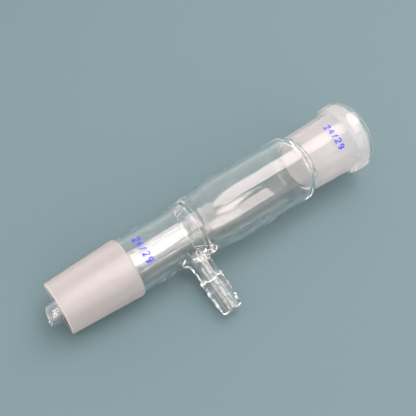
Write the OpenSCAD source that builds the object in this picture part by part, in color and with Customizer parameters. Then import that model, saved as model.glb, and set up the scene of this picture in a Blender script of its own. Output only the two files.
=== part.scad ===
// Straight vacuum receiver adapter in blown borosilicate glass, one fused piece.
// A standard-taper socket and a wide vapour tube end in a rounded bowl.  A narrow
// drip tube hangs from the bowl and runs down through a jacket that ends in a
// standard-taper cone.  A ring seal joins bowl, jacket and body, and a barbed hose
// arm on the jacket opens into the space around the drip tube.
//
// Tube frame: axis along +X, station 0 at the small end of the cone, the socket at
// the far end, the arm towards -Y.  The finished part lies as it comes to rest on
// z = 0, on the large end of the cone, the body's lower shoulder and the arm's tip.

/* [Standard taper joints] */
// Large end diameter of both ground joints
gauge_d = 24.0; // [23.8:0.1:24.2]
// Length of the ground zone on the cone
cone_len = 29.4; // [28.6:0.2:30]
// Diameter change per millimetre of joint length
taper = 0.1; // [0.095:0.005:0.105]
// Length of the bevel at the large end of the cone
cone_bevel = 0.8; // [0.5:0.1:1.2]

/* [Jacket] */
// Outside diameter of the jacket above the cone
neck_od = 22.6; // [22.2:0.1:22.8]
// Wall of the jacket
neck_wall = 1.8; // [1.6:0.1:2]
// Outside diameter of the swelling below the ring seal
swell_od = 24.2; // [23.8:0.1:24.4]
// Station of the start of that swelling
swell_at = 52.0; // [51.5:0.5:52.5]
// Station of the ring seal
seal_at = 60.4; // [60:0.1:60.8]

/* [Body and socket] */
// Outside diameter of the wide vapour tube
body_od = 28.4; // [28:0.1:28.8]
// Wall of the wide vapour tube
body_wall = 1.65; // [1.5:0.05:1.9]
// Station where the wide tube starts to be straight
body_from = 75.5; // [75:0.5:76.5]
// Straight length of the wide tube
body_len = 32.0; // [30:0.5:33]
// Length over which the wide tube turns in to the socket
turn_len = 4.5; // [4:0.5:6]
// Outside diameter of the socket at its lower end
socket_od = 25.2; // [25:0.1:25.6]
// Overall length of the socket
socket_len = 29.7; // [29.4:0.1:30.2]
// Largest diameter of the rolled rim
rim_d = 31.3; // [31:0.1:31.6]

/* [Drip tube] */
// Outside diameter of the drip tube
drip_od = 8.3; // [8:0.1:8.6]
// Wall of the drip tube
drip_wall = 1.0; // [0.9:0.05:1.2]
// How far the drip tube reaches past the cone
drip_reach = 5.4; // [4:0.1:8]

/* [Hose arm] */
// Station of the hose arm's axis
arm_at = 53.3; // [53:0.1:53.6]
// Distance from the tube axis to the arm's tip
arm_len = 34.8; // [34:0.1:36]
// Outside diameter of the arm's neck
arm_od = 8.3; // [8.1:0.1:8.5]
// Bore of the arm
arm_bore = 4.6; // [4.2:0.1:4.8]
// Distance of the inner barb's crest from the tube axis
barb1_at = 20.4; // [20:0.1:21]
// Distance of the middle barb's crest from the tube axis
barb2_at = 25.0; // [24.6:0.1:25.6]
// Distance of the outer barb's crest from the tube axis
barb3_at = 30.1; // [29.6:0.1:30.6]
// Diameter over the inner barb
barb1_d = 9.95; // [9.7:0.05:10.1]
// Diameter over the middle barb
barb2_d = 9.6; // [9.4:0.05:9.8]
// Diameter over the outer barb
barb3_d = 9.35; // [9.15:0.05:9.6]
// Diameter of the hollow after the inner barb
hollow1_d = 8.9; // [8.6:0.05:9.1]
// Diameter of the hollow after the middle barb
hollow2_d = 8.7; // [8.5:0.05:8.9]
// Diameter of the plain end
end_d = 8.3; // [8:0.05:8.5]

/* [Hidden] */
$fn = 96;

// ---- helpers ----
// points of a cubic curve without its first point, so that curves chain
function cub(p, q, r, s, n = 8) = [for (i = [1:n]) let (t = i / n, u = 1 - t) u*u*u*p + 3*u*u*t*q + 3*u*t*t*r + t*t*t*s];
// swaps [station, radius] to [radius, station]
function flip(v) = [for (p = v) [p[1], p[0]]];

// ---- stations and radii ----
g = gauge_d / 2;
k = taper / 2;
neck_r = neck_od / 2;
neck_i = neck_r - neck_wall;
swell_r = swell_od / 2;
swell_i = swell_r - 1.75;
body_r = body_od / 2;
body_i = body_r - body_wall;
body_to = body_from + body_len;
sock_at = body_to + turn_len;
sock_r = socket_od / 2;
mouth = sock_at + socket_len;
rim_r = rim_d / 2;
rim_c = [mouth - 2.3, rim_r - 2.3];      // centre of the outer curve of the rim
rim_rho = 2.3;                           // its radius
drip_r = drip_od / 2;
drip_i = drip_r - drip_wall;
cone_big = cone_len - cone_bevel;        // station of the cone's largest circle
cone_in = g - k * cone_big - 1.75;       // inside radius at the cone's open end
flare_r = sock_r + 0.85;                 // radius where the rim starts to flare
function bore_r(s) = g - k * (mouth - 0.2 - s);   // ground bore of the socket

// ---- outline of the glass, as [station, radius] ----
// outside, from the cone's open end to the rim
outside = concat(
    [[0, cone_in], [0, g - k * cone_big - 0.2], [0.4, g - k * (cone_big - 0.4)],
     [cone_big, g], [cone_len, g - 0.42], [cone_len + 1.1, g - 0.46]],
    cub([cone_len + 1.1, g - 0.46], [cone_len + 1.7, g - 0.5], [cone_len + 1.7, neck_r], [cone_len + 2.7, neck_r], 4),
    [[swell_at, neck_r]],
    cub([swell_at, neck_r], [swell_at + 1.4, neck_r], [swell_at + 1.4, swell_r], [swell_at + 3.2, swell_r], 6),
    [[seal_at - 1.6, swell_r + 0.03]],
    cub([seal_at - 1.6, swell_r + 0.03], [seal_at - 0.8, swell_r + 0.05], [seal_at - 0.8, swell_r + 0.42], [seal_at, swell_r + 0.42], 4),
    cub([seal_at, swell_r + 0.42], [seal_at + 0.8, swell_r + 0.42], [seal_at + 0.8, swell_r + 0.3], [seal_at + 1.4, swell_r + 0.4], 4),
    cub([seal_at + 1.4, swell_r + 0.4], [seal_at + 2.2, swell_r + 0.6], [seal_at + 3.4, swell_r + 0.68], [seal_at + 4.8, swell_r + 0.8], 5),
    cub([seal_at + 4.8, swell_r + 0.8], [seal_at + 7.6, swell_r + 1.1], [body_from - 6.2, body_r], [body_from, body_r], 10),
    [[body_to, body_r]],
    cub([body_to, body_r], [body_to + 2.6, body_r], [sock_at - 0.7, sock_r + 1.1], [sock_at - 0.1, sock_r + 0.06], 8),
    [[sock_at + 0.8, sock_r + 0.02], [mouth - 8.9, flare_r]],
    cub([mouth - 8.9, flare_r], [mouth - 8.1, flare_r + 0.05], [mouth - 8.4, rim_r - 0.95], [mouth - 6.8, rim_r - 0.5], 7),
    cub([mouth - 6.8, rim_r - 0.5], [mouth - 5.4, rim_r - 0.16], [mouth - 4.6, rim_r], rim_c + rim_rho * [-cos(85), sin(85)], 4),
    [for (i = [1:7]) rim_c + rim_rho * [cos(95 - 95 / 7 * i), sin(95 - 95 / 7 * i)]]
);
// rounded face of the rim down to the ground bore
rim_lip = cub(rim_c + rim_rho * [1, 0], [mouth, bore_r(mouth) + 0.5], [mouth - 0.5, bore_r(mouth - 1) + 0.04], [mouth - 1.9, bore_r(mouth - 1.9)], 7);
// ground bore, rounded lower lip, wide tube and bowl, down into the drip tube
bowl_at = seal_at - 3.9;                 // station of the bottom of the bowl
inside = concat(
    [[sock_at + 0.6, bore_r(sock_at + 0.6)]],
    cub([sock_at + 0.6, bore_r(sock_at + 0.6)], [sock_at - 0.9, bore_r(sock_at) - 0.02], [sock_at - 0.9, bore_r(sock_at) + 0.9], [sock_at - 1.8, bore_r(sock_at) + 1.15], 5),
    cub([sock_at - 1.8, bore_r(sock_at) + 1.15], [sock_at - 3.4, bore_r(sock_at) + 1.6], [body_to + 1.4, body_i], [body_to - 1.5, body_i], 6),
    [[body_from + 2.5, body_i]],
    cub([body_from + 2.5, body_i], [body_from - 5.5, body_i], [seal_at + 6.2, swell_r - 0.9], [seal_at + 3.2, swell_r - 1.5], 9),
    cub([seal_at + 3.2, swell_r - 1.5], [seal_at - 0.8, swell_r - 2.4], [bowl_at + 2.0, 7.2], [bowl_at + 1.5, 5.6], 9),
    cub([bowl_at + 1.5, 5.6], [bowl_at + 1.1, 4.2], [bowl_at - 0.2, drip_i + 0.1], [bowl_at - 3.2, drip_i], 7)
);
// rounded end of the drip tube, from the bore to the outside
tip_at = -drip_reach;
tip_in = drip_i + 0.2;
tip_end = concat([[tip_at + 1.4, drip_i]],
    cub([tip_at + 1.4, drip_i], [tip_at + 0.3, drip_i], [tip_at, drip_i], [tip_at, tip_in], 4),
    cub([tip_at, tip_in], [tip_at + 0.08, drip_r - 0.35], [tip_at + 1.1, drip_r], [tip_at + 2.3, drip_r], 7));
// outside of the drip tube and bowl, and the wall of the jacket, back to the cone
jacket = concat(
    [[bowl_at - 3.8, drip_r]],
    cub([bowl_at - 3.8, drip_r], [bowl_at - 1.2, drip_r + 0.05], [bowl_at - 0.2, drip_r + 0.9], [bowl_at + 0.2, drip_r + 2.4], 7),
    cub([bowl_at + 0.2, drip_r + 2.4], [bowl_at + 0.6, drip_r + 4.4], [bowl_at + 2.0, swell_i + 0.1], [bowl_at + 0.4, swell_i], 7),
    cub([bowl_at + 0.4, swell_i], [bowl_at - 1.2, swell_i - 0.1], [swell_at + 2.0, neck_i + 0.1], [swell_at - 0.8, neck_i], 6),
    [[cone_len - 3, neck_i]],
    cub([cone_len - 3, neck_i], [cone_len - 9, neck_i], [8, cone_in + 0.05], [3, cone_in], 5)
);
outline = concat(outside, rim_lip, inside, tip_end, jacket);

// ---- hose arm, as [radius, distance from the tube axis] ----
arm_r = arm_od / 2;
tip_rho = 1.0;                           // rounding of the arm's tip
tip_r = end_d / 2 - 0.1;
flare = concat([[8.8, 7.2], [8.7, 9.3], [8.2, 10.5]], cub([8.2, 10.5], [7.5, 11.7], [arm_r + 0.05, 12.5], [arm_r, 16.8], 9));
barbs = concat(
    [[arm_r, barb1_at - 1.6]],
    cub([arm_r, barb1_at - 1.6], [arm_r, barb1_at - 1.0], [barb1_d/2 - 0.2, barb1_at - 0.4], [barb1_d/2 - 0.05, barb1_at - 0.15], 3),
    [[barb1_d/2, barb1_at], [barb1_d/2 - 0.08, barb1_at + 0.25],
     [hollow1_d/2, barb2_at - 1.1], [barb2_d/2 - 0.06, barb2_at - 0.2],
     [barb2_d/2, barb2_at], [barb2_d/2 - 0.07, barb2_at + 0.25],
     [hollow2_d/2, barb3_at - 1.1], [barb3_d/2 - 0.06, barb3_at - 0.2],
     [barb3_d/2, barb3_at], [barb3_d/2 - 0.07, barb3_at + 0.25],
     [end_d/2, arm_len - 2.4]],
    [for (i = [0:6]) [tip_r - tip_rho + tip_rho * cos(15 * i), arm_len - tip_rho + tip_rho * sin(15 * i)]]);
arm_side = concat([[0, 6]], [[8.8, 6]], flare, barbs, [[0, arm_len]]);
// section of the arm's root across the tube, which blends round the jacket
web = concat([[0, 5]], [[8.8, 5]], [[8.8, 6.6]], cub([8.8, 6.6], [7.3, 9.8], [4.9, 11.8], [4.5, 15.4], 8), [[12, 15.8]], [[12, arm_len + 2]], [[0, arm_len + 2]]);

// ---- lying at rest ----
// tilt: the floor touches the cone and the body's lower shoulder
tilt = max([for (p = outside) if (p[0] > cone_len + 3) min([for (q = outside) if (q[0] <= cone_big) atan2(p[1] - q[1], p[0] - q[0])])]);
z0 = max([for (p = outside) p[1] * cos(tilt) - p[0] * sin(tilt)]);
// roll: the arm droops until the edge of its tip touches the floor too
beta = min([for (p = arm_side) if (p[1] > 12) asin((z0 + arm_at * sin(tilt)) / norm(p)) - atan2(p[0], p[1])]);
droop = asin(sin(beta) / cos(tilt));
// the origin is under the middle of the part
x_hi = max([for (p = outside) p[0] * cos(tilt) + p[1] * sin(tilt)]);
x_lo = min([for (p = outline) p[0] * cos(tilt) - p[1] * sin(tilt)]);
y_lo = -max([for (p = arm_side) p[1] * cos(droop) + p[0] * sin(droop)]);
x_mid = (x_hi + x_lo) / 2;
y_mid = (rim_r + y_lo) / 2;
echo(tilt = tilt, droop = droop, z0 = z0, x_mid = x_mid, y_mid = y_mid, sock_at = sock_at, mouth = mouth);

module along_x() rotate([0, 90, 0]) children();

// the blown and ring-sealed tubes
module tubes() along_x() rotate_extrude() polygon(flip(outline));

// outside form of the hose arm, cut back to the middle of the jacket's wall
module arm() difference() {
    translate([arm_at, 0, 0]) intersection() {
        rotate([90, 0, 0]) rotate_extrude() polygon(arm_side);
        rotate([90, 0, 90]) translate([0, 0, -12]) linear_extrude(24) polygon(concat([for (p = web) [-p[1], p[0]]], [for (i = [len(web) - 2:-1:1]) [-web[i][1], -web[i][0]]]));
    }
    along_x() rotate_extrude() polygon([[0, 30], [neck_r - 0.75, 30], [neck_r - 0.75, swell_at + 0.4], [swell_r - 0.8, swell_at + 3.2], [swell_r - 0.8, 70], [0, 70]]);
}

// bore of the hose arm, widening into the jacket
module arm_hole() translate([arm_at, 0, 0]) rotate([90, 0, 0]) rotate_extrude()
    polygon(concat([[0, 6.4], [3.3, 6.4], [3.3, neck_i - 0.6]],
        cub([3.3, neck_i - 0.6], [3.1, neck_i + 0.8], [arm_bore/2, neck_i + 1.6], [arm_bore/2, neck_i + 4.2], 6),
        [[arm_bore/2, arm_len - 0.7]], cub([arm_bore/2, arm_len - 0.7], [arm_bore/2, arm_len - 0.2], [arm_bore/2 + 0.2, arm_len], [arm_bore/2 + 0.7, arm_len + 0.1], 4),
        [[arm_bore/2 + 0.7, arm_len + 1], [0, arm_len + 1]]));

module adapter() color([0.86, 0.93, 0.94, 0.45])
    translate([-x_mid, -y_mid, z0]) rotate([0, -tilt, 0]) rotate([droop, 0, 0])
        difference() {
            union() { tubes(); arm(); }
            arm_hole();
        }

adapter();
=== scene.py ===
import math
import bpy
import numpy as np
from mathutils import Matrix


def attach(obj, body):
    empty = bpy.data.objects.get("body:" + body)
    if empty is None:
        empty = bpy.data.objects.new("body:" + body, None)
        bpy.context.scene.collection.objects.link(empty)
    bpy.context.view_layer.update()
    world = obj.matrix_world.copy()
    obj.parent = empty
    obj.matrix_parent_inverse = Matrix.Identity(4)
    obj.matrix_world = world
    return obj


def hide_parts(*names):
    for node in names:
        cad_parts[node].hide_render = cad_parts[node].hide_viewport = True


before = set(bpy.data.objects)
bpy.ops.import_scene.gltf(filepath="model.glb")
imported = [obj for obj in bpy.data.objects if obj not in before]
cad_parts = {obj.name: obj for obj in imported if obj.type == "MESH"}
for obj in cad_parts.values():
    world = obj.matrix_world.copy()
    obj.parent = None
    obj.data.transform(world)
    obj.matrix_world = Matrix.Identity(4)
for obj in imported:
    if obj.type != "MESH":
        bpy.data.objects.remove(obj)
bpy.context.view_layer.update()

MM = 0.001

# ---------------------------------------------------------------- profile (the solid's own sizes, mm)
g, k = 12.0, 0.05
cone_len, cone_bevel = 29.4, 0.8
neck_r, neck_wall = 11.3, 1.8
neck_i = neck_r - neck_wall
swell_r, swell_at, seal_at = 12.1, 52.0, 60.4
swell_i = swell_r - 1.75
body_r, body_wall, body_from, body_len, turn_len = 14.2, 1.65, 75.5, 32.0, 4.5
body_i = body_r - body_wall
body_to = body_from + body_len
sock_at = body_to + turn_len
sock_r, sock_len = 12.6, 29.7
mouth = sock_at + sock_len
rim_r = 15.65
rim_c = (mouth - 2.3, rim_r - 2.3)
rim_rho = 2.3
drip_r, drip_wall, drip_reach = 4.15, 1.0, 5.4
drip_i = drip_r - drip_wall
cone_big = cone_len - cone_bevel
cone_in = g - k * cone_big - 1.75
flare_r = sock_r + 0.85
arm_at, arm_len, arm_r, bore = 53.3, 34.8, 4.15, 2.3
TILT, DROOP, Z0, X_MID, Y_MID = math.radians(2.75192), math.radians(15.8809), 10.613, 68.3115, -9.34721


def bore_r(s):
    return g - k * (mouth - 0.2 - s)


def cub(p, q, r, s, n=8):
    out = []
    for i in range(1, n + 1):
        t = i / n
        u = 1 - t
        out.append(tuple(u**3 * a + 3 * u * u * t * b + 3 * u * t * t * c + t**3 * d for a, b, c, d in zip(p, q, r, s)))
    return out


def line(p, q, step):
    n = max(1, int(math.ceil(math.dist(p, q) / step)))
    return [(p[0] + (q[0] - p[0]) * i / n, p[1] + (q[1] - p[1]) * i / n) for i in range(1, n + 1)]


class Path:
    """A chain of straight and cubic stretches, [station, radius]."""

    def __init__(self, p):
        self.p = [p]

    def to(self, q, step=3.0):
        self.p += line(self.p[-1], q, step)
        return self

    def cub(self, q, r, s, n=8):
        self.p += cub(self.p[-1], q, r, s, n)
        return self

    def arc(self, c, rho, a, b, n):
        for i in range(1, n + 1):
            t = math.radians(a + (b - a) * i / n)
            self.p.append((c[0] + rho * math.cos(t), c[1] + rho * math.sin(t)))
        return self


# outside, from the cone's open end to the rim
big = g - k * cone_big
o = Path((0, cone_in + 0.15))
o.to((0, big - 0.45), 0.8).arc((0.3, big - 0.45), 0.3, 180, 92, 4)
o.to((cone_big - 0.12, g - 0.02), 1.4).to((cone_big, g - 0.03), 1).to((cone_len, g - 0.42), 0.5)
o.to((cone_len + 1.1, g - 0.46), 0.6)
o.cub((cone_len + 1.7, g - 0.5), (cone_len + 1.7, neck_r), (cone_len + 2.7, neck_r), 8)
o.to((swell_at - 9, neck_r), 1.6).to((swell_at, neck_r), 0.5)
o.cub((swell_at + 1.4, neck_r), (swell_at + 1.4, swell_r), (swell_at + 3.2, swell_r), 9)
o.to((seal_at - 1.6, swell_r + 0.03), 0.45)
o.cub((seal_at - 0.8, swell_r + 0.05), (seal_at - 0.8, swell_r + 0.42), (seal_at, swell_r + 0.42), 6)
o.cub((seal_at + 0.8, swell_r + 0.42), (seal_at + 0.8, swell_r + 0.3), (seal_at + 1.4, swell_r + 0.4), 5)
o.cub((seal_at + 2.2, swell_r + 0.6), (seal_at + 3.4, swell_r + 0.68), (seal_at + 4.8, swell_r + 0.8), 8)
o.cub((seal_at + 7.6, swell_r + 1.1), (body_from - 6.2, body_r), (body_from, body_r), 16)
o.to((body_to, body_r), 2.5)
o.cub((body_to + 2.2, body_r), (sock_at - 1.15, sock_r + 0.95), (sock_at + 0.05, sock_r + 0.04), 14)
o.to((sock_at + 0.8, sock_r + 0.02), 0.5).to((mouth - 8.9, flare_r), 2.5)
o.cub((mouth - 8.1, flare_r + 0.05), (mouth - 8.4, rim_r - 0.95), (mouth - 6.8, rim_r - 0.5), 12)
e = (rim_c[0] + rim_rho * math.cos(math.radians(95)), rim_c[1] + rim_rho * math.sin(math.radians(95)))
o.cub((mouth - 5.4, rim_r - 0.16), (mouth - 4.6, rim_r), e, 6)
o.arc(rim_c, rim_rho, 95, 0, 14)
n_out = len(o.p)
# rolled face of the rim, ground bore, wide tube, bowl and drip tube
o.cub((mouth, bore_r(mouth) + 0.5), (mouth - 0.5, bore_r(mouth - 1) + 0.04), (mouth - 1.9, bore_r(mouth - 1.9)), 12)
o.to((sock_at + 0.6, bore_r(sock_at + 0.6)), 1.4)
o.cub((sock_at - 0.9, bore_r(sock_at) - 0.02), (sock_at - 0.9, bore_r(sock_at) + 0.9), (sock_at - 1.8, bore_r(sock_at) + 1.15), 9)
o.cub((sock_at - 3.4, bore_r(sock_at) + 1.6), (body_to + 1.4, body_i), (body_to - 1.5, body_i), 10)
o.to((body_from + 2.5, body_i), 2.5)
o.cub((body_from - 5.5, body_i), (seal_at + 6.2, swell_r - 0.9), (seal_at + 3.2, swell_r - 1.5), 16)
bowl_at = seal_at - 3.9
o.cub((seal_at - 0.8, swell_r - 2.4), (bowl_at + 2.0, 7.2), (bowl_at + 1.5, 5.6), 14)
o.cub((bowl_at + 1.1, 4.2), (bowl_at - 0.2, drip_i + 0.1), (bowl_at - 3.2, drip_i), 10)
tip = -drip_reach
o.to((tip + 2.8, drip_i), 2.2)
o.cub((tip + 1.7, drip_i), (tip + 1.1, 2.65), (tip + 0.5, 2.62), 8)
o.cub((tip + 0.15, 2.6), (tip, 2.68), (tip, 2.85), 5)
o.cub((tip, 3.45), (tip + 1.1, drip_r), (tip + 2.9, drip_r), 18)
# outside of drip tube and bowl, then the jacket's wall back to the cone
o.to((bowl_at - 3.8, drip_r), 2.2)
o.cub((bowl_at - 1.2, drip_r + 0.05), (bowl_at - 0.2, drip_r + 0.9), (bowl_at + 0.2, drip_r + 2.4), 10)
o.cub((bowl_at + 0.6, drip_r + 4.4), (bowl_at + 2.0, swell_i + 0.1), (bowl_at + 0.4, swell_i), 12)
n_jack = len(o.p)
o.cub((bowl_at - 1.2, swell_i - 0.1), (swell_at + 2.0, neck_i + 0.1), (swell_at - 0.8, neck_i), 12)
o.to((swell_at - 6, neck_i), 0.6).to((cone_len - 3, neck_i), 2.4)
o.cub((cone_len - 9, neck_i), (8, cone_in + 0.05), (3, cone_in), 9)
o.to((0.15, cone_in), 1.5)
prof = np.array(o.p)


def to_world(p):
    """Points of the tube frame, rolled so that the arm droops, to metres in the row frame."""
    p = np.asarray(p, float)
    s, y, z = p[..., 0], p[..., 1], p[..., 2]
    c, d = math.cos(DROOP), math.sin(DROOP)
    y, z = y * c - z * d, y * d + z * c
    ct, st = math.cos(TILT), math.sin(TILT)
    return np.stack([s * ct - z * st - X_MID, y - Y_MID, s * st + z * ct + Z0], -1) * MM


# ---------------------------------------------------------------- glass mesh
SEG = 180


def outer_r(s):
    return np.interp(s, prof[:n_out, 0], prof[:n_out, 1])


_ji = prof[n_jack:][::-1]


def inner_r(s):
    return np.interp(s, _ji[:, 0], _ji[:, 1])


def wobble(s, th, r):
    """Slight unevenness of blown glass, none on the ground joints."""
    w = 0.028 * np.sin(0.21 * s + 2 * th + 1.0) + 0.020 * np.sin(0.37 * s - 3 * th) + 0.012 * np.sin(0.9 * s + th + 2)
    fade = np.clip((s - cone_len - 3) / 6, 0, 1) * np.clip((sock_at - 3 - s) / 6, 0, 1)
    inner = np.clip((r - 5.0) / 3, 0, 1)
    return w * fade * inner


def bend(p):
    """The drip tube leans a little off the axis towards its tip, whose end is slanted."""
    p = p.copy()
    s, y, z = p[..., 0], p[..., 1], p[..., 2]
    r = np.hypot(y, z)
    m = np.where((r < 4.6) & (s < 50), np.clip((50 - s) / 55.4, 0, 1) ** 2, 0)
    lean = 0.72
    ca, sa = math.cos(TIP_A), math.sin(TIP_A)
    along = y * ca + z * sa
    end = np.clip((1.0 - s) / 6.4, 0, 1) ** 2
    p[..., 0] = s - np.where(m > 0, end * (0.20 * along - 0.75), 0)
    p[..., 1] = y + m * lean * ca
    p[..., 2] = z + m * lean * sa
    return p


TIP_A = math.radians(193.0)   # side the drip tip leans to, in the rolled tube frame

verts, faces = [], []


def add(ps):
    i = len(verts)
    verts.extend([tuple(p) for p in ps])
    return i


def askew(s, th):
    """The foot of the rim's bead isn't square to the tube: its station varies round the glass."""
    a = np.clip((s - (mouth - 13.0)) / 3.5, 0, 1) * np.clip((mouth - 4.2 - s) / 3.0, 0, 1)
    return s + a * 0.55 * np.cos(th - BEAD_A)


BEAD_A = math.radians(13.9)   # side on which the foot is nearest the mouth, rolled tube frame
th = np.arange(SEG) * 2 * math.pi / SEG     # th = 0 at +Y; the arm is at th = pi
TH_ARM = math.pi
ring_ix = []
NP = len(prof)
grid = np.zeros((NP, SEG), int)
for i, (s, r) in enumerate(prof):
    rr = r + (wobble(s, th, r) if r > 5 else 0)
    pts = np.stack([np.full(SEG, s) if r <= 12.5 else askew(s, th), rr * np.cos(th), rr * np.sin(th)], -1)
    grid[i] = add(bend(pts)) + np.arange(SEG)


def window(lo_s, hi_s, half, first, last):
    """Rings between two stations in part of the profile, and the columns either side of the arm."""
    rows = [i for i in range(first, last) if lo_s <= prof[i, 0] <= hi_s]
    c = int(round(TH_ARM / (2 * math.pi) * SEG))
    return rows, list(range(c - half, c + half + 1))


rows_o, cols_o = window(arm_at - 9.2, arm_at + 9.2, 25, 0, n_out)
rows_i, cols_i = window(arm_at - 6.9, arm_at + 3.6, 17, n_jack - 1, NP)
holes = set()
for rows, cols in ((rows_o, cols_o), (rows_i, cols_i)):
    for i in range(min(rows), max(rows)):
        for j in cols[:-1]:
            holes.add((i, j % SEG))
for i in range(NP):
    i2 = (i + 1) % NP
    for j in range(SEG):
        if (i, j) in holes:
            continue
        j2 = (j + 1) % SEG
        faces.append((grid[i, j], grid[i, j2], grid[i2, j2], grid[i2, j]))


def perimeter(rows, cols):
    r0, r1 = min(rows), max(rows)
    out = [grid[r0, c % SEG] for c in cols]
    out += [grid[r, cols[-1] % SEG] for r in range(r0 + 1, r1 + 1)]
    out += [grid[r1, c % SEG] for c in cols[::-1][1:]]
    out += [grid[r, cols[0] % SEG] for r in range(r1 - 1, r0, -1)]
    return out


def patch(rows, cols, surf, rho0, r_end, h_end, l1, l2, n_flat, n_fil, sign):
    """From a rectangular window in a tube's surface to a circle round the arm's axis: along the surface to rho0, then a smooth fillet. Returns the last circle's vertices."""
    per = perimeter(rows, cols)[::sign]
    P = np.array([verts[v] for v in per])
    u, v = P[:, 0] - arm_at, P[:, 2]
    rho, phi = np.hypot(u, v), np.arctan2(v, u)
    loops = [np.array(per)]

    def height(rh, ph):
        s = arm_at + rh * np.cos(ph)
        lat = rh * np.sin(ph)
        t = np.arctan2(lat, -1.0 * np.sqrt(np.maximum(surf(s) ** 2 - lat**2, 1e-9)))
        R = surf(s) + wobble(s, t % (2 * math.pi), surf(s))
        return np.sqrt(np.maximum(R**2 - lat**2, 1e-9))

    rho0v = rho0(phi)
    h0 = height(rho0v, phi)
    for a in range(1, n_flat + 1):
        f = a / n_flat
        rh = rho + (rho0v - rho) * f
        h = height(rh, phi)
        pts = np.stack([arm_at + rh * np.cos(phi), -h, rh * np.sin(phi)], -1)
        loops.append(add(pts) + np.arange(len(per)))
    d = 0.02
    slope = (height(rho0v - d, phi) - height(rho0v, phi)) / d     # per mm inwards
    nrm = np.hypot(1, slope)
    L1 = l1(phi)
    p0 = np.stack([rho0v, h0], -1)
    p1 = p0 + np.stack([-L1 / nrm, L1 * slope / nrm], -1)
    p2 = np.stack([np.full_like(phi, r_end), np.full_like(phi, h_end - l2)], -1)
    p3 = np.stack([np.full_like(phi, r_end), np.full_like(phi, h_end)], -1)
    for a in range(1, n_fil + 1):
        t = a / n_fil
        w = 1 - t
        q = w**3 * p0 + 3 * w * w * t * p1 + 3 * w * t * t * p2 + t**3 * p3
        pts = np.stack([arm_at + q[:, 0] * np.cos(phi), -q[:, 1], q[:, 0] * np.sin(phi)], -1)
        loops.append(add(pts) + np.arange(len(per)))
    for A, B in zip(loops[:-1], loops[1:]):
        n = len(A)
        for j in range(n):
            j2 = (j + 1) % n
            f = (A[j], A[j2], B[j2], B[j])
            faces.append(f if sign > 0 else f[::-1])
    return loops[-1], phi


H_OUT, H_IN = 16.8, 16.2
last_o, phi_o = patch(rows_o, cols_o, outer_r,
                      lambda p: 8.0 - 0.15 * np.sin(p) ** 2, arm_r, H_OUT,
                      lambda p: 2.5 + 1.2 * np.sin(p) ** 2, 4.6, 3, 16, 1)
last_i, phi_i = patch(rows_i, cols_i, inner_r,
                      lambda p: 3.3 + 1.25 * (1 - np.cos(p)), bore, H_IN,
                      lambda p: 1.3 + 0.35 * (1 - np.cos(p)), 3.4, 3, 12, -1)

# barbed arm, [radius, distance]: slightly rounded crests and hollows
arm = Path((arm_r, H_OUT))
arm.to((arm_r, 18.7), 0.9)
arm.to((arm_r, 19.3), 0.6)
arm.cub((arm_r, 19.75), (4.55, 19.95), (4.86, 20.16), 6).cub((4.97, 20.24), (5.0, 20.36), (4.93, 20.55), 4)
arm.cub((4.75, 21.4), (4.46, 22.7), (4.40, 24.1), 6).cub((4.40, 24.5), (4.48, 24.62), (4.74, 24.82), 5)
arm.cub((4.85, 24.90), (4.88, 25.03), (4.80, 25.25), 4)
arm.cub((4.62, 26.2), (4.34, 27.8), (4.30, 29.2), 6).cub((4.29, 29.6), (4.37, 29.72), (4.62, 29.92), 5)
arm.cub((4.73, 30.0), (4.76, 30.13), (4.68, 30.35), 4)
arm.cub((4.5, 31.0), (4.2, 31.6), (4.15, 32.4), 6).to((4.05, 33.8), 0.7)
for i in range(1, 9):
    a = math.radians(90 * i / 8)
    arm.p.append((3.05 + math.cos(a), 33.8 + math.sin(a)))
arm.to((3.0, 34.8), 1).cub((2.6, 34.8), (bore, 34.6), (bore, 34.1), 5).to((bore, H_IN), 2.6)
arm_p = arm.p[1:]
# the two rings have different counts, so the inner one is bridged at its own count
n_o, n_i = len(last_o), len(last_i)


def ring_at(phi, r, h):
    return add(np.stack([arm_at + r * np.cos(phi), np.full(len(phi), -h), r * np.sin(phi)], -1)) + np.arange(len(phi))


def strip(A, B, flip=False):
    n = len(A)
    for j in range(n):
        j2 = (j + 1) % n
        f = (A[j], A[j2], B[j2], B[j])
        faces.append(f[::-1] if flip else f)


split = next(i for i, p in enumerate(arm_p) if p[0] <= 3.06 and p[1] >= 34.79)
cur = np.array(last_o)
for r, h in arm_p[: split + 1]:
    nxt = ring_at(phi_o, r, h)
    strip(cur, nxt)
    cur = nxt
outer_end = cur
rest = arm_p[split + 1:]
cur = np.array(last_i)
for r, h in rest[::-1][1:]:
    nxt = ring_at(phi_i, r, h)
    strip(cur, nxt, True)
    cur = nxt
inner_end = cur
# bridge the two rings of different count by angle
ao = np.unwrap(phi_o)
ai = np.unwrap(phi_i)
sgn = 1 if ao[-1] > ao[0] else -1
if (ai[-1] > ai[0]) != (sgn > 0):
    raise RuntimeError("arm rings run opposite ways")
k0 = int(np.argmin(np.abs((ai - ao[0] + math.pi) % (2 * math.pi) - math.pi)))
inner_end = np.roll(inner_end, -k0)
ai = np.unwrap(np.roll(phi_i, -k0))
ai = ai + round((ao[0] - ai[0]) / (2 * math.pi)) * 2 * math.pi
a, b = 0, 0
while a < n_o or b < n_i:
    na = ao[a + 1] if a + 1 < n_o else ao[0] + sgn * 2 * math.pi
    nb = ai[b + 1] if b + 1 < n_i else ai[0] + sgn * 2 * math.pi
    A, A2 = outer_end[a % n_o], outer_end[(a + 1) % n_o]
    B, B2 = inner_end[b % n_i], inner_end[(b + 1) % n_i]
    if b >= n_i or (a < n_o and sgn * na <= sgn * nb):
        faces.append((A, A2, B))
        a += 1
    else:
        faces.append((A, B2, B))
        b += 1

V = to_world(np.array(verts))


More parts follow.
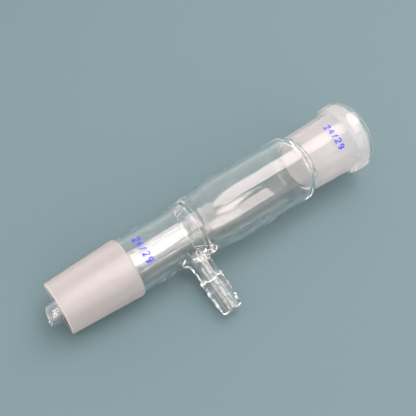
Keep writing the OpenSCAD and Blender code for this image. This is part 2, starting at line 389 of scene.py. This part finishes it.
def build(name, v, f):
    me = bpy.data.meshes.new(name)
    me.from_pydata([tuple(p) for p in v], [], [tuple(int(i) for i in q) for q in f])
    me.validate(verbose=False)
    ob = bpy.data.objects.new(name, me)
    bpy.context.scene.collection.objects.link(ob)
    return ob


import bmesh
glass = build("glass_adapter", V, faces)
bm = bmesh.new()
bm.from_mesh(glass.data)
loose = [v for v in bm.verts if not v.link_faces]
bmesh.ops.delete(bm, geom=loose, context="VERTS")
bmesh.ops.recalc_face_normals(bm, faces=bm.faces)
open_edges = sum(1 for e in bm.edges if len(e.link_faces) != 2)
if bm.calc_volume(signed=True) < 0:
    bmesh.ops.reverse_faces(bm, faces=bm.faces)
vol = bm.calc_volume(signed=True)
bm.to_mesh(glass.data)
bm.free()
for p in glass.data.polygons:
    p.use_smooth = True
glass.data.set_sharp_from_angle(angle=math.radians(38))
print("glass: %d verts, %d faces, open edges %d, volume %.2f cm3" % (len(glass.data.vertices), len(glass.data.polygons), open_edges, vol * 1e6))


# ---------------------------------------------------------------- materials
def new_mat(name):
    m = bpy.data.materials.new(name)
    m.use_nodes = True
    m.node_tree.nodes.clear()
    return m, m.node_tree.nodes, m.node_tree.links


def math_node(nodes, links, op, a, b=None, c=None, clamp=False):
    n = nodes.new("ShaderNodeMath")
    n.operation = op
    n.use_clamp = clamp
    for i, v in enumerate((a, b, c)):
        if v is None:
            continue
        if isinstance(v, (int, float)):
            n.inputs[i].default_value = v
        else:
            links.new(v, n.inputs[i])
    return n.outputs[0]


def smooth(nodes, links, v, lo, hi):
    n = nodes.new("ShaderNodeMapRange")
    n.interpolation_type = "SMOOTHSTEP"
    links.new(v, n.inputs["Value"])
    n.inputs["From Min"].default_value = lo
    n.inputs["From Max"].default_value = hi
    return n.outputs["Result"]


def tube_coords(nodes, links):
    """Station along the tube and distance from its axis, in millimetres."""
    tc_ = nodes.new("ShaderNodeTexCoord")
    mp = nodes.new("ShaderNodeMapping")
    mp.vector_type = "TEXTURE"
    mp.inputs["Location"].default_value = (-X_MID * MM, -Y_MID * MM, Z0 * MM)
    mp.inputs["Rotation"].default_value = (0, -TILT, 0)
    mp.inputs["Scale"].default_value = (MM, MM, MM)
    links.new(tc_.outputs["Object"], mp.inputs["Vector"])
    sp = nodes.new("ShaderNodeSeparateXYZ")
    links.new(mp.outputs[0], sp.inputs[0])
    s, y, z = sp.outputs
    r = math_node(nodes, links, "SQRT", math_node(nodes, links, "ADD", math_node(nodes, links, "MULTIPLY", y, y), math_node(nodes, links, "MULTIPLY", z, z)))
    return s, r, mp.outputs[0]


def glass_mat():
    m, nodes, links = new_mat("borosilicate_glass")
    out = nodes.new("ShaderNodeOutputMaterial")
    s, r, vec = tube_coords(nodes, links)
    # clear glass
    clear = nodes.new("ShaderNodeBsdfPrincipled")
    clear.inputs["Base Color"].default_value = (0.985, 0.995, 0.992, 1)
    clear.inputs["Roughness"].default_value = 0.0
    clear.inputs["IOR"].default_value = 1.474
    clear.inputs["Transmission Weight"].default_value = 1.0
    # faint ripple of drawn tube
    nz = nodes.new("ShaderNodeTexNoise")
    nz.inputs["Scale"].default_value = 0.09
    nz.inputs["Detail"].default_value = 2.0
    links.new(vec, nz.inputs["Vector"])
    bp = nodes.new("ShaderNodeBump")
    bp.inputs["Strength"].default_value = 0.24
    bp.inputs["Distance"].default_value = 0.0004
    links.new(nz.outputs["Fac"], bp.inputs["Height"])
    links.new(bp.outputs[0], clear.inputs["Normal"])
    # ground glass: fine grain, scattering
    g1 = nodes.new("ShaderNodeTexNoise")
    g1.inputs["Scale"].default_value = 9.0
    g1.inputs["Detail"].default_value = 6.0
    g1.inputs["Roughness"].default_value = 0.7
    links.new(vec, g1.inputs["Vector"])
    g2 = nodes.new("ShaderNodeTexNoise")
    g2.inputs["Scale"].default_value = 0.35
    g2.inputs["Detail"].default_value = 3.0
    links.new(vec, g2.inputs["Vector"])
    gb = nodes.new("ShaderNodeBump")
    gb.inputs["Strength"].default_value = 0.35
    gb.inputs["Distance"].default_value = 0.00005
    links.new(g1.outputs["Fac"], gb.inputs["Height"])
    frost = nodes.new("ShaderNodeBsdfPrincipled")
    frost.inputs["Base Color"].default_value = (0.97, 0.955, 0.955, 1)
    frost.inputs["IOR"].default_value = 1.474
    frost.inputs["Transmission Weight"].default_value = 1.0
    links.new(gb.outputs[0], frost.inputs["Normal"])
    fr = nodes.new("ShaderNodeMapRange")
    links.new(g2.outputs["Fac"], fr.inputs["Value"])
    fr.inputs["From Min"].default_value = 0.3
    fr.inputs["From Max"].default_value = 0.7
    fr.inputs["To Min"].default_value = 0.52
    fr.inputs["To Max"].default_value = 0.64
    links.new(fr.outputs[0], frost.inputs["Roughness"])
    # ground bore of the socket: within a hair of the ground cone's radius
    k1 = math_node(nodes, links, "MULTIPLY_ADD", s, k, g - k * (mouth - 0.2))
    d1 = math_node(nodes, links, "ABSOLUTE", math_node(nodes, links, "SUBTRACT", r, k1))
    near = math_node(nodes, links, "LESS_THAN", d1, math_node(nodes, links, "MULTIPLY_ADD", smooth(nodes, links, s, 139.5, 141.0), 0.25, 0.22))
    m2 = math_node(nodes, links, "MULTIPLY", smooth(nodes, links, s, sock_at - 0.1, sock_at + 0.5), smooth(nodes, links, s, 140.7, 139.9))
    mask2 = math_node(nodes, links, "MULTIPLY", near, m2)
    # painted light: the socket's ground bore gets a much lighter copy of the cone's frosted colour, making up for the
    # light it loses under the glass around it
    tone = nodes.new("ShaderNodeMixRGB")
    links.new(m2, tone.inputs[0])
    tone.inputs[1].default_value = (0.40, 0.385, 0.39, 1)
    tone.inputs[2].default_value = (0.86, 0.85, 0.88, 1)
    # painted highlight: the cone's open end and its end face get a lighter, warm colour, so they stay bright where they
    # face away from the light
    tone_with_painted_edge = nodes.new("ShaderNodeMixRGB")
    links.new(smooth(nodes, links, s, 0.35, 0.10), tone_with_painted_edge.inputs[0])
    links.new(tone.outputs[0], tone_with_painted_edge.inputs[1])
    tone_with_painted_edge.inputs[2].default_value = (0.92, 0.84, 0.78, 1)
    white = nodes.new("ShaderNodeBsdfPrincipled")
    links.new(tone_with_painted_edge.outputs[0], white.inputs["Base Color"])
    white.inputs["Roughness"].default_value = 0.36
    white.inputs["Specular IOR Level"].default_value = 0.7
    white.inputs["IOR"].default_value = 2.0
    white.inputs["Sheen Weight"].default_value = 0.35
    white.inputs["Sheen Roughness"].default_value = 0.35
    white.inputs["Sheen Tint"].default_value = (1.0, 0.90, 0.82, 1)
    links.new(gb.outputs[0], white.inputs["Normal"])
    through = nodes.new("ShaderNodeBsdfTranslucent")
    lift = nodes.new("ShaderNodeMixRGB")
    links.new(tone_with_painted_edge.outputs[0], lift.inputs[1])
    lift.inputs[0].default_value = 0.85
    lift.inputs[2].default_value = (0.96, 0.91, 0.905, 1)
    links.new(lift.outputs[0], through.inputs["Color"])
    scatter = nodes.new("ShaderNodeMixShader")
    scatter.inputs["Fac"].default_value = 0.58
    links.new(white.outputs[0], scatter.inputs[1])
    links.new(through.outputs[0], scatter.inputs[2])
    ground = nodes.new("ShaderNodeMixShader")
    gm = nodes.new("ShaderNodeMapRange")
    links.new(g2.outputs["Fac"], gm.inputs["Value"])
    gm.inputs["From Min"].default_value = 0.3
    gm.inputs["From Max"].default_value = 0.7
    gm.inputs["To Min"].default_value = 0.60
    gm.inputs["To Max"].default_value = 0.70
    links.new(gm.outputs[0], ground.inputs["Fac"])
    links.new(frost.outputs[0], ground.inputs[1])
    links.new(scatter.outputs[0], ground.inputs[2])
    # cone's outside and end face: station up to its big circle, outside the bore
    cone_a = smooth(nodes, links, s, cone_len + 0.05, cone_len - 0.1)
    cone_b = smooth(nodes, links, r, cone_in + 0.05, cone_in + 0.5)
    cone_c = math_node(nodes, links, "GREATER_THAN", r, 9.75)
    end_face = math_node(nodes, links, "LESS_THAN", s, 0.25)
    mask1 = math_node(nodes, links, "MULTIPLY", cone_a, math_node(nodes, links, "MAXIMUM", cone_c, math_node(nodes, links, "MULTIPLY", end_face, cone_b)))
    mask = math_node(nodes, links, "MAXIMUM", mask1, mask2, clamp=True)
    mix = nodes.new("ShaderNodeMixShader")
    links.new(mask, mix.inputs["Fac"])
    links.new(clear.outputs[0], mix.inputs[1])
    links.new(ground.outputs[0], mix.inputs[2])
    # painted highlight: a warm, partly diffuse band on the fire-polished end of the drip tube stands in for the bright
    # outline that refracted light gives it
    a0 = TIP_A + DROOP
    sep = nodes.new("ShaderNodeSeparateXYZ")
    links.new(vec, sep.inputs[0])
    side = math_node(nodes, links, "MULTIPLY_ADD", sep.outputs[1], 0.20 * math.cos(a0), math_node(nodes, links, "MULTIPLY", sep.outputs[2], 0.20 * math.sin(a0)))
    q = math_node(nodes, links, "ADD", s, side)
    rim = math_node(nodes, links, "MULTIPLY", smooth(nodes, links, q, tip + 2.0, tip + 0.9), math_node(nodes, links, "LESS_THAN", r, 5.3))
    # pale warm colour of the painted highlight at the tip
    lip = nodes.new("ShaderNodeBsdfTranslucent")
    lip.inputs["Color"].default_value = (0.96, 0.88, 0.84, 1)
    lip2 = nodes.new("ShaderNodeBsdfDiffuse")
    lip2.inputs["Color"].default_value = (0.96, 0.88, 0.84, 1)
    tip_glow_shader = nodes.new("ShaderNodeMixShader")
    tip_glow_shader.inputs["Fac"].default_value = 0.5
    links.new(lip.outputs[0], tip_glow_shader.inputs[1])
    links.new(lip2.outputs[0], tip_glow_shader.inputs[2])
    last = nodes.new("ShaderNodeMixShader")
    links.new(math_node(nodes, links, "MULTIPLY", rim, 0.30), last.inputs["Fac"])
    links.new(mix.outputs[0], last.inputs[1])
    links.new(tip_glow_shader.outputs[0], last.inputs[2])
    links.new(last.outputs[0], out.inputs["Surface"])
    return m


glass.data.materials.append(glass_mat())
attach(glass, "root")
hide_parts("adapter")

# ---------------------------------------------------------------- blue numerals, "24/29", on cone side and socket
GLYPHS = {
    "2": [[(0.04, 0.76), (0.10, 0.92), (0.27, 1.0), (0.42, 0.97), (0.54, 0.86), (0.55, 0.70), (0.47, 0.55), (0.25, 0.33), (0.04, 0.08), (0.03, 0.03), (0.58, 0.03)]],
    "4": [[(0.44, 0.0), (0.44, 1.0), (0.02, 0.30), (0.60, 0.30)]],
    "9": [[(0.54, 0.66), (0.47, 0.50), (0.30, 0.43), (0.13, 0.50), (0.05, 0.70), (0.12, 0.90), (0.30, 1.0), (0.47, 0.92), (0.55, 0.70), (0.53, 0.40), (0.44, 0.14), (0.26, 0.01), (0.08, 0.08)]],
    "/": [[(0.02, -0.04), (0.38, 1.04)]],
}
ADV = {"2": 0.96, "4": 0.97, "9": 0.95, "/": 0.80}


def round_line(pts, n=6):
    """A smooth run through the points (Catmull-Rom), straight between them when there are four points or fewer."""
    p = [np.array(q) for q in pts]
    if len(p) < 4 or len(p) == 4:
        out = []
        for a_, b_ in zip(p[:-1], p[1:]):
            out += [a_ + (b_ - a_) * t for t in np.linspace(0, 1, 7)[:-1]]
        return out + [p[-1]]
    q = [2 * p[0] - p[1]] + p + [2 * p[-1] - p[-2]]
    out = []
    for i in range(1, len(q) - 2):
        for t in np.linspace(0, 1, n + 1)[:-1]:
            out.append(0.5 * (2 * q[i] + (q[i + 1] - q[i - 1]) * t + (2 * q[i - 1] - 5 * q[i] + 4 * q[i + 1] - q[i + 2]) * t * t
                              + (3 * q[i] - q[i - 1] - 3 * q[i + 1] + q[i + 2]) * t**3))
    return out + [p[-1]]


def numerals(name, station, height, th0, arc_per_mm, stroke, lift):
    """Enamel numerals that run round the tube, tops towards +X. th0 is the angle where they start, rolled frame."""
    nv, nf = [], []
    x = 0.0
    rng = np.random.RandomState(5)
    for ch in "24/29":
        for st in GLYPHS[ch]:
            pts = round_line(st)
            pts = [np.array([x + q[0] * height, q[1] * height]) for q in pts]
            m = len(pts)
            L = []
            for i in range(m):
                a_ = pts[max(0, i - 1)]
                b_ = pts[min(m - 1, i + 1)]
                d_ = (b_ - a_) / max(1e-9, np.linalg.norm(b_ - a_))
                nrm = np.array([-d_[1], d_[0]])
                w = stroke / 2 * (1 + 0.12 * rng.randn())
                w = max(w, stroke * 0.35)
                end = 0.55 if i in (0, m - 1) else 1.0
                L.append((pts[i] + nrm * w * end, pts[i] + nrm * w * 0.4 * end, pts[i] - nrm * w * 0.4 * end, pts[i] - nrm * w * end))
            base = len(nv)
            for row in L:
                for kk, q in enumerate(row):
                    s = station + q[1]
                    R = float(outer_r(s))
                    a2 = th0 + arc_per_mm * q[0] / R
                    R = R + float(wobble(s, a2 % (2 * math.pi), R)) + (lift if kk in (1, 2) else lift * 0.35)
                    nv.append((s, R * math.cos(a2), R * math.sin(a2)))
            for i in range(m - 1):
                for kk in range(3):
                    b0 = base + i * 4 + kk
                    nf.append((b0, b0 + 1, b0 + 5, b0 + 4))
        x += ADV[ch] * height
    ob = build(name, to_world(np.array(nv)), nf)
    b2 = bmesh.new()
    b2.from_mesh(ob.data)
    bmesh.ops.recalc_face_normals(b2, faces=b2.faces)
    b2.to_mesh(ob.data)
    b2.free()
    for p in ob.data.polygons:
        p.use_smooth = True
    return ob


def ink_mat():
    m, nodes, links = new_mat("blue_enamel")
    out = nodes.new("ShaderNodeOutputMaterial")
    b_ = nodes.new("ShaderNodeBsdfPrincipled")
    b_.inputs["Roughness"].default_value = 0.35
    tc_ = nodes.new("ShaderNodeTexCoord")
    nz = nodes.new("ShaderNodeTexNoise")
    nz.inputs["Scale"].default_value = 2600
    nz.inputs["Detail"].default_value = 3
    links.new(tc_.outputs["Object"], nz.inputs["Vector"])
    cr = nodes.new("ShaderNodeValToRGB")
    cr.color_ramp.elements[0].position = 0.35
    cr.color_ramp.elements[0].color = (0.012, 0.014, 0.42, 1)
    cr.color_ramp.elements[1].position = 0.65
    cr.color_ramp.elements[1].color = (0.030, 0.034, 0.58, 1)
    links.new(nz.outputs["Fac"], cr.inputs["Fac"])
    links.new(cr.outputs[0], b_.inputs["Base Color"])
    links.new(b_.outputs[0], out.inputs["Surface"])
    return m


# ---------------------------------------------------------------- camera, from the fitted viewing angle
ALPHA = math.radians(-28.9)
ca, sa = math.cos(ALPHA), math.sin(ALPHA)
# rows: tube frame axes (unrolled) in the camera fit's frame
yt = np.array([0, ca, sa])
zt = np.array([0, -sa, ca])


def fit_to_tube(p):
    p = np.asarray(p, float)
    return np.array([p[0], p @ yt, p @ zt])


def tube_dir_to_world(d):
    ct, st = math.cos(TILT), math.sin(TILT)
    return np.array([d[0] * ct - d[2] * st, d[1], d[0] * st + d[2] * ct])


C = fit_to_tube((-14.587, 0, 232.174))
cam_pos = (tube_dir_to_world(C) + np.array([-X_MID, -Y_MID, Z0])) * MM
right = tube_dir_to_world(fit_to_tube((0.80882, -0.51651, 0.28113)))
down = tube_dir_to_world(fit_to_tube((-0.48207, -0.85615, -0.18604)))
fwd = tube_dir_to_world(fit_to_tube((0.33678, 0.01495, -0.94147)))
cam_d = bpy.data.cameras.new("camera")
cam = bpy.data.objects.new("camera", cam_d)
bpy.context.scene.collection.objects.link(cam)
from mathutils import Matrix
M = Matrix(((right[0], -down[0], -fwd[0], cam_pos[0]), (right[1], -down[1], -fwd[1], cam_pos[1]), (right[2], -down[2], -fwd[2], cam_pos[2]), (0, 0, 0, 1)))
cam.matrix_world = M
cam_d.sensor_fit = "HORIZONTAL"
cam_d.sensor_width = 36
cam_d.lens = 36 * 624.574 / 416
cam_d.clip_start = 0.01
bpy.context.scene.camera = cam

# the print faces the camera: its angle in the rolled frame follows the camera's direction
cam_t = math.atan2(C[2], C[1]) - DROOP      # th of the line of sight in the rolled frame
# th grows from the lower right of the view to its upper left
PRINT = [("socket_print", 125.55, 2.7, cam_t + math.radians(-34.6), 1.0), ("jacket_print", 33.9, 2.7, cam_t + math.radians(-42.8), 0.95)]
for nm, st_, hh, a0, dr_ in PRINT:
    ob = numerals(nm, st_, hh, a0, dr_, 0.56, 0.03)
    ob.data.materials.append(ink_mat())
    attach(ob, "root")

# ---------------------------------------------------------------- floor and light
fm, nodes, links = new_mat("pale_floor")
fo = nodes.new("ShaderNodeOutputMaterial")
fb = nodes.new("ShaderNodeBsdfPrincipled")
fb.inputs["Base Color"].default_value = (0.094, 0.149, 0.165, 1)
fb.inputs["Roughness"].default_value = 0.85
fb.inputs["Specular IOR Level"].default_value = 0.2
links.new(fb.outputs[0], fo.inputs["Surface"])
floor = build("floor", [(-2, -2, 0), (2, -2, 0), (2, 2, 0), (-2, 2, 0)], [(0, 1, 2, 3)])
floor.data.materials.append(fm)


def area(name, loc, target, sx, sy, power, color=(1, 1, 1), shape="RECTANGLE"):
    d_ = bpy.data.lights.new(name, "AREA")
    d_.shape = shape
    d_.size, d_.size_y = sx, sy
    d_.energy = power
    d_.color = color
    ob = bpy.data.objects.new(name, d_)
    bpy.context.scene.collection.objects.link(ob)
    from mathutils import Vector
    ob.location = loc
    ob.rotation_euler = (Vector(target) - Vector(loc)).to_track_quat("-Z", "Y").to_euler()
    return ob


area("softbox", (0.25, 0.05, 0.75), (0.0, 0.0, 0.0), 0.52, 0.92, 7.3, (1.0, 0.81, 0.79), "ELLIPSE")
area("front_box", (0.05, -0.36, 0.72), (0.0, 0.0, 0.0), 0.55, 0.40, 2.6, (1.0, 0.84, 0.82), "ELLIPSE")
area("fill", (-0.15, -0.95, 0.50), (0.0, 0.0, 0.0), 1.0, 0.6, 4.2, (1.0, 0.90, 0.88))
w = bpy.data.worlds.new("studio")
w.use_nodes = True
w.node_tree.nodes["Background"].inputs[0].default_value = (1.0, 0.955, 0.91, 1)
w.node_tree.nodes["Background"].inputs[1].default_value = 1.35
bpy.context.scene.world = w
bpy.context.scene.view_settings.view_transform = "Standard"
bpy.context.scene.cycles.max_bounces = 32
bpy.context.scene.cycles.glossy_bounces = 24
bpy.context.scene.cycles.transmission_bounces = 24
